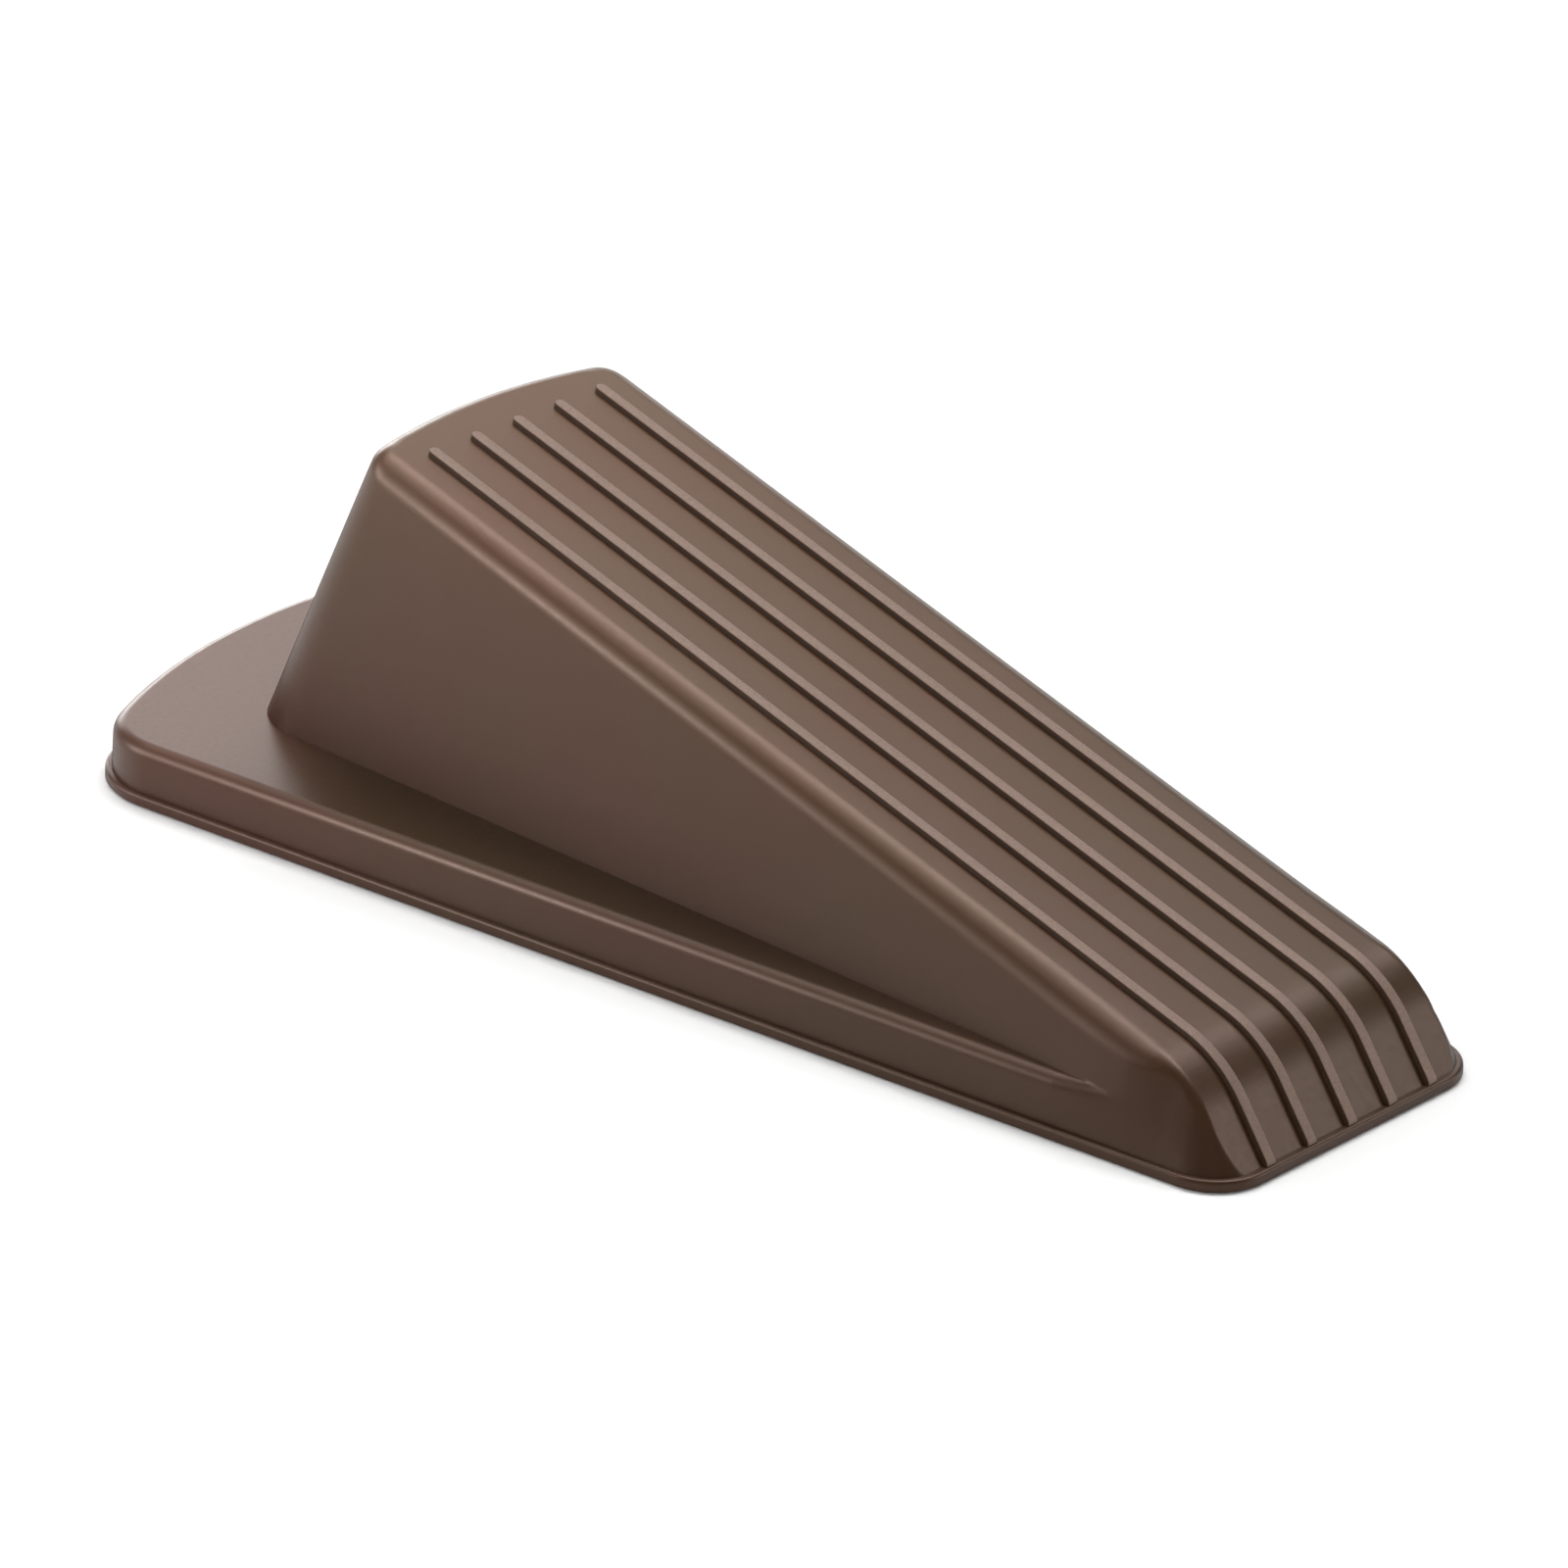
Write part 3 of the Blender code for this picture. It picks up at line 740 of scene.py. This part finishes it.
def build_wedge(material):
    """The wedge: ramp, nose, sides and heel, which at the toe runs on down to the lip. Gives the column of
    points at which the foot starts."""
    stations, split = crown_stations()
    toe = [section(y, tilt, True) for y, tilt in stations[:split + 1]]
    ramp = [section(y, tilt, False) for y, tilt in stations[split:]]
    heel_end = math.pi / 2 - math.asin(heel_corner(HEIGHT)[0] / HEEL_ARC_RADIUS)
    turns = [blend(0, heel_end, i / CORNER_COLUMNS) for i in range(CORNER_COLUMNS + 1)]
    heel = [heel_column(corner_plan(turn), corner_edge_radius(turn)) for turn in turns]
    shares = [1 - 2 * i / ACROSS for i in range(1, ACROSS // 2 + 1)]
    heel += [heel_column(face_plan(share), HEEL_EDGE_RADIUS) for share in shares]

    bm = bmesh.new()

    def both(points):
        right = [bm.verts.new(p) for p in points]
        left = [bm.verts.new((-p.x, p.y, p.z)) for p in points]
        return right, left

    toe_rows = [both(points) for points in toe]
    ramp_rows = [both(points) for points in ramp[1:]]
    tail = both(ramp[0][-1:])
    junction = len(ramp[0]) - 1
    shared = tuple(toe_rows[-1][side][:junction] + tail[side] for side in (0, 1))
    ramp_rows = [shared] + ramp_rows

    # Walls and rounded edges
    for rows in (toe_rows, ramp_rows):
        for near, far in zip(rows, rows[1:]):
            for side in (0, 1):
                strip(bm, near[side], far[side])
    pairs = [both(points) for points in heel[:-1]]
    middle = [bm.verts.new(p) for p in heel[-1]]
    columns = [ramp_rows[-1][0]] + [right for right, _ in pairs] + [middle]
    columns += [left for _, left in reversed(pairs)] + [ramp_rows[-1][1]]
    for first, second in zip(columns, columns[1:]):
        strip(bm, first, second)

    # Crown, across from side to side
    def across(row):
        right, left = row[0][0], row[1][0]
        inner = []
        for i in range(1, ACROSS):
            x = blend(right.co.x, left.co.x, i / ACROSS)
            inner.append(bm.verts.new((x, right.co.y, right.co.z)))
        return [right] + inner + [left]

    crown = [across(row) for row in toe_rows + ramp_rows[1:]]
    for near, far in zip(crown, crown[1:]):
        strip(bm, near, far)
    top = [column[0] for column in columns]
    heel_top = top[1 + CORNER_COLUMNS:-1 - CORNER_COLUMNS]
    last = crown[-1]
    strip(bm, last[1:-1], heel_top[1:-1])
    bm.faces.new([last[0], last[1], heel_top[1]] + list(reversed(top[1:2 + CORNER_COLUMNS])))
    bm.faces.new([last[-1], last[-2], heel_top[-2]] + top[-2 - CORNER_COLUMNS:-1])

    # Underside, hidden in the sole and the foot
    for rows in (toe_rows, ramp_rows):
        for near, far in zip(rows, rows[1:]):
            bm.faces.new((near[0][-1], near[1][-1], far[1][-1], far[0][-1]))
    bm.faces.new([column[-1] for column in columns])
    right, left = toe_rows[-1]
    bm.faces.new(
        [tail[0][0]] + right[junction - 1:] + list(reversed(left[junction - 1:])) + [tail[1][0]]
    )
    new_piece("rubber_wedge", bm, "wedge_body", material)
    return toe[-1][junction - 1:]


def build_foot(material, border):
    """The foot: a plate with a rounded edge, which starts where the wedge's toe ends."""
    levels = [p.z for p in border]
    insets = [foot_inset(z) for z in levels]
    columns = [border]
    for (x, y), way in outline()[TOE_ARC_STEPS:]:
        if y >= border[0].y + FOOT_FIRST_GAP:
            columns.append([
                Vector((x - way[0] * inset, y - way[1] * inset, z)) for z, inset in zip(levels, insets)
            ])
    bm = bmesh.new()
    made = [[bm.verts.new(p) for p in column] for column in columns]
    made += [
        [bm.verts.new((-p.x, p.y, p.z)) for p in column] for column in reversed(columns[:-1])
    ]
    for first, second in zip(made, made[1:]):
        strip(bm, first, second)
    bm.faces.new([column[0] for column in made])
    bm.faces.new([column[-1] for column in made])
    bm.faces.new(made[0] + list(reversed(made[-1])))
    new_piece("rubber_foot", bm, "base_foot", material)


def build_rib(index, node, material):
    """A rib with rounded top edges and a half-round heel end, down the ramp and nose to the lip."""
    low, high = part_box(node)
    centre_x = (low.x + high.x) / 2
    half_width = (high.x - low.x) / 2
    bend_start = (BEND_END_Y - CROWN_LOW_Y) / math.cos(NOSE_ANGLE)
    ramp_start = bend_start + NOSE_RADIUS * (NOSE_ANGLE - RAMP_ANGLE)
    length = ramp_start + (RIB_HEEL_Y - BEND_START_Y) / math.cos(RAMP_ANGLE)

    def place(s, x, height):
        """A point at s along the crown from the nose's foot, x to the side and that far above it."""
        if s < bend_start:
            y, angle = CROWN_LOW_Y + s * math.cos(NOSE_ANGLE), NOSE_ANGLE
        elif s < ramp_start:
            angle = NOSE_ANGLE - (s - bend_start) / NOSE_RADIUS
            y = BEND_CENTRE_Y - NOSE_RADIUS * math.sin(angle)
        else:
            y, angle = BEND_START_Y + (s - ramp_start) * math.cos(RAMP_ANGLE), RAMP_ANGLE
        base = Vector((centre_x + x, y, crown_z(y)))
        return base + Vector((0, -math.sin(angle), math.cos(angle))) * height

    # One side of the rib seen from above, as (s, x, outward direction)
    side = []
    for start, end, steps in (
        (0.0, RIB_END_ROUND, RIB_TOE_STEPS),
        (RIB_END_ROUND, bend_start, RIB_NOSE_STEPS),
        (bend_start, ramp_start, RIB_BEND_STEPS),
        (ramp_start, length - half_width, RIB_RAMP_STEPS),
    ):
        side += [(blend(start, end, i / steps), half_width, (0, 1)) for i in range(steps)]
    for i in range(RIB_END_STEPS):
        turn = i / RIB_END_STEPS * math.pi / 2
        along, out = math.sin(turn), math.cos(turn)
        side.append((length - half_width + half_width * along, half_width * out, (along, out)))
    tip = (length, 0.0, (1, 0))

    def height_at(s):
        """The rib's height, which rounds off at its foot."""
        if s >= RIB_END_ROUND:
            return RIB_HEIGHT
        away = 1 - s / RIB_END_ROUND
        return blend(RIB_END_HEIGHT, RIB_HEIGHT, math.sqrt(max(1 - away * away, 0.0)))

    # Rows from the sunk base up the sides and over the rounded edges. Those from the top row on are worn
    around = side + [tip] + [(s, -x, (along, -out)) for s, x, (along, out) in reversed(side)]
    profile = [(-RIB_SINK, 0.0), (0.0, 0.0)]
    for step in range(RIB_EDGE_STEPS + 1):
        turn = step / RIB_EDGE_STEPS * math.pi / 2
        profile.append((math.sin(turn) * RIB_EDGE_RADIUS, RIB_EDGE_RADIUS * (1 - math.cos(turn))))
    bm = bmesh.new()
    top_layer = bm.verts.layers.float.new("top")
    rows = []
    for level, (rise, inset) in enumerate(profile):
        row = []
        for s, x, (along, out) in around:
            height = rise if level < RIB_BASE_ROWS else height_at(s) - RIB_EDGE_RADIUS + rise
            row.append(bm.verts.new(place(s - along * inset, x - out * inset, height)))
            row[-1][top_layer] = float(level >= RIB_TOP_ROW)
        rows.append(row)
    for lower, upper in zip(rows, rows[1:]):
        strip(bm, lower, upper)
    tip_at = len(side)
    for row in (rows[0], rows[-1]):
        for i in range(tip_at - 1):
            bm.faces.new((row[i], row[i + 1], row[-2 - i], row[-1 - i]))
        bm.faces.new(row[tip_at - 1:tip_at + 2])
    bm.faces.new([row[0] for row in rows] + [row[-1] for row in reversed(rows)])
    new_piece(f"rubber_rib_{index}", bm, node, material)


# Materials

class Look:
    """A new material, with short ways to add nodes. An input is given as its socket, and as its value or
    the other node's output that feeds it."""

    def __init__(self, name):
        self.material = bpy.data.materials.new(name)
        self.material.use_nodes = True
        self.shader = self.material.node_tree.nodes["Principled BSDF"]
        self.where = self.add("ShaderNodeTexCoord").outputs["Object"]

    def feed(self, node, inputs):
        for socket, value in inputs:
            if isinstance(value, bpy.types.NodeSocket):
                self.material.node_tree.links.new(value, node.inputs[socket])
            else:
                node.inputs[socket].default_value = value

    def add(self, kind, *inputs):
        node = self.material.node_tree.nodes.new(kind)
        self.feed(node, inputs)
        return node

    def noise(self, scale, detail, roughness):
        node = self.add(
            "ShaderNodeTexNoise",
            ("Vector", self.where), ("Scale", scale), ("Detail", detail), ("Roughness", roughness),
        )
        return node.outputs["Fac"]

    def ramp(self, value, stops, colors):
        """Goes from one colour to the other between two stops."""
        node = self.add("ShaderNodeValToRGB", ("Fac", value))
        for element, stop, color in zip(node.color_ramp.elements, stops, colors):
            element.position = stop
            element.color = (*color, 1.0)
        return node.outputs["Color"]

    def stretch(self, value, stops, low=0.0, high=1.0, shape="LINEAR"):
        """Goes from low to high between two stops."""
        node = self.add(
            "ShaderNodeMapRange",
            ("Value", value), ("From Min", stops[0]), ("From Max", stops[1]),
            ("To Min", low), ("To Max", high),
        )
        node.interpolation_type = shape
        return node.outputs["Result"]

    def mix(self, mode, amount, first, second):
        node = self.add("ShaderNodeMix")
        node.data_type = "RGBA"
        node.blend_type = mode
        self.feed(node, (("Factor", amount), ("A", first), ("B", second)))
        return node.outputs["Result"]

    def math(self, operation, *values):
        node = self.add("ShaderNodeMath", *enumerate(values))
        node.operation = operation
        return node.outputs["Value"]

    def flecked(self, tones, speckle, stops):
        """The cloudy mix of two tones, with lighter and darker flecks."""
        cloud = self.ramp(self.noise(*CLOUD_NOISE), CLOUD_STOPS, tones)
        flecks = self.ramp(self.noise(*FLECK_NOISE), stops, ((1 - speckle,) * 3, (1 + speckle,) * 3))
        return self.mix("MULTIPLY", 1.0, cloud, flecks)

    def banded(self, color, bands):
        """The colour with its tints, each where all its stretches have come in."""
        axes = self.add("ShaderNodeSeparateXYZ", ("Vector", self.where)).outputs
        for tint, stretches in bands:
            amount = 1.0
            for axis, start, full in stretches:
                share = self.stretch(axes[axis], (start, full), shape="SMOOTHSTEP")
                amount = self.math("MULTIPLY", amount, share)
            color = self.mix("MULTIPLY", amount, color, (*tint, 1.0))
        return color

    def paler(self, color, way, offset):
        """The colour, brightened by e to the power of the way along a vector plus an offset, as painted
        light.
        """
        along = self.add("ShaderNodeVectorMath", (0, self.where), (1, way))
        along.operation = "DOT_PRODUCT"
        power = self.math("ADD", along.outputs["Value"], offset)
        node = self.add(
            "ShaderNodeHueSaturation", ("Color", color), ("Value", self.math("EXPONENT", power)),
        )
        return node.outputs["Color"]


def rubber(name, tones, roughness, grain, speckle, bands=(), pale=(PAINTED_LIGHT_WAY, PAINTED_LIGHT_OFFSET), worn=None):
    """Brown moulded rubber, from its tones, range of roughness, height of grain in mm, strength of flecks,
    tint bands, some of them painted shade, and way and offset of the painted light that makes it paler. worn
    is the tones and the strength of flecks of the faces marked as top."""
    look = Look(name)
    color = look.flecked(tones, speckle, FLECK_STOPS)
    if worn:
        marked = look.add("ShaderNodeAttribute")
        marked.attribute_name = "top"
        color = look.mix("MIX", marked.outputs["Fac"], color, look.flecked(*worn, WORN_FLECK_STOPS))
    facing = look.add("ShaderNodeLayerWeight", ("Blend", EDGE_ON_BLEND)).outputs["Facing"]
    bump = look.add(
        "ShaderNodeBump", ("Strength", 1.0), ("Distance", grain * MM), ("Height", look.noise(*GRAIN_NOISE)),
    )
    look.feed(look.shader, (
        ("Base Color", look.paler(look.banded(color, bands), *pale)),
        ("Roughness", look.stretch(look.noise(*ROUGH_NOISE), ROUGH_STOPS, *roughness)),
        ("Specular IOR Level", look.stretch(facing, EDGE_ON_STOPS, SHEEN, 0.0)),
        ("Specular Tint", SHEEN_TINT),
        ("Normal", bump.outputs["Normal"]),
    ))
    return look.material


# Stage

def make_floor():
    mesh = bpy.data.meshes.new("floor")
    corners = ((-1, -1), (1, -1), (1, 1), (-1, 1))
    mesh.from_pydata([(x * FLOOR_REACH, y * FLOOR_REACH, FLOOR_Z) for x, y in corners], [], [(0, 1, 2, 3)])
    floor = bpy.data.objects.new("floor", mesh)
    bpy.context.scene.collection.objects.link(floor)
    material = bpy.data.materials.new("pale_floor")
    material.use_nodes = True
    shader = material.node_tree.nodes["Principled BSDF"]
    shader.inputs["Base Color"].default_value = FLOOR_COLOR
    shader.inputs["Roughness"].default_value = FLOOR_ROUGHNESS
    mesh.materials.append(material)


def lamp_way(bearing, height):
    """Towards a bearing from +X towards +Y and a height above the floor, in degrees."""
    bearing, height = math.radians(bearing), math.radians(height)
    level = math.cos(height)
    return Vector((math.cos(bearing) * level, math.sin(bearing) * level, math.sin(height)))


def make_lamps():
    """Wide soft lamps around the object, which all aim at it."""
    for name, bearing, height, width, power in FILL_LAMPS + SHEEN_LAMPS:
        data = bpy.data.lights.new(name, "SUN")
        data.angle = math.radians(width)
        data.energy = power
        lamp = bpy.data.objects.new(name, data)
        way = lamp_way(bearing, height)
        lamp.rotation_mode = "QUATERNION"
        lamp.rotation_quaternion = way.to_track_quat("Z", "Y")
        lamp.location = way
        lamp.visible_glossy = name.endswith("_sheen")
        lamp.visible_diffuse = not lamp.visible_glossy
        bpy.context.scene.collection.objects.link(lamp)


def make_edge_lamp():
    """A small lamp near the heel, only for the shine along the ramp's edge."""
    data = bpy.data.lights.new("edge_sheen", "POINT")
    data.shadow_soft_size = EDGE_LAMP_RADIUS
    data.energy = EDGE_LAMP_POWER
    lamp = bpy.data.objects.new("edge_sheen", data)
    lamp.location = Vector(EDGE_LAMP_NEAR) + lamp_way(*EDGE_LAMP_WAY) * EDGE_LAMP_DISTANCE
    lamp.visible_diffuse = False
    bpy.context.scene.collection.objects.link(lamp)


def make_world():
    world = bpy.data.worlds.new("studio")
    world.use_nodes = True
    background = world.node_tree.nodes["Background"]
    background.inputs["Color"].default_value = (1, 1, 1, 1)
    background.inputs["Strength"].default_value = WORLD_GLOW
    bpy.context.scene.world = world


def make_camera():
    """A long lens to the left of the toe, looking along the ramp from above."""
    azimuth, elevation, roll = (math.radians(turn) for turn in CAMERA_TURNS)
    level = math.cos(elevation)
    back = Vector((math.sin(azimuth) * level, -math.cos(azimuth) * level, math.sin(elevation)))
    right = Vector((math.cos(azimuth), math.sin(azimuth), 0))
    up = back.cross(right)
    across = right * math.cos(roll) + up * math.sin(roll)
    upward = up * math.cos(roll) - right * math.sin(roll)
    data = bpy.data.cameras.new("camera")
    data.sensor_width = CAMERA_SENSOR
    data.lens = CAMERA_LENS
    data.clip_start, data.clip_end = CAMERA_CLIP
    camera = bpy.data.objects.new("camera", data)
    camera.matrix_world = Matrix((across, upward, back)).transposed().to_4x4()
    camera.location = Vector(CAMERA_TARGET) + back * CAMERA_DISTANCE
    bpy.context.scene.collection.objects.link(camera)
    bpy.context.scene.camera = camera


def main():
    body = rubber("brown_rubber", BROWN, (0.36, 0.42), grain=0.005, speckle=0.03, bands=BODY_BANDS)
    # The foot's rubber also holds the painted shadow on its top beside the wedge
    foot = rubber("foot_rubber", BROWN, (0.36, 0.42), grain=0.005, speckle=0.03, bands=FOOT_BANDS)
    sole = rubber("sole_rubber", BROWN, (0.38, 0.46), grain=0.005, speckle=0.04, bands=BODY_BANDS)
    grip = rubber(
        "grip_rubber", SIDE_BROWN, (0.50, 0.65), grain=0.012, speckle=0.10,
        pale=(RIB_PAINTED_LIGHT_WAY, 0.0), worn=(WORN_BROWN, 0.16),
    )
    build_sole(sole)
    border = build_wedge(body)
    build_foot(foot, border)
    for index, node in enumerate(RIB_NODES, start=1):
        build_rib(index, node, grip)
    make_floor()
    make_world()
    make_lamps()
    make_edge_lamp()
    make_camera()
    bpy.context.scene.view_settings.view_transform = "Standard"


main()
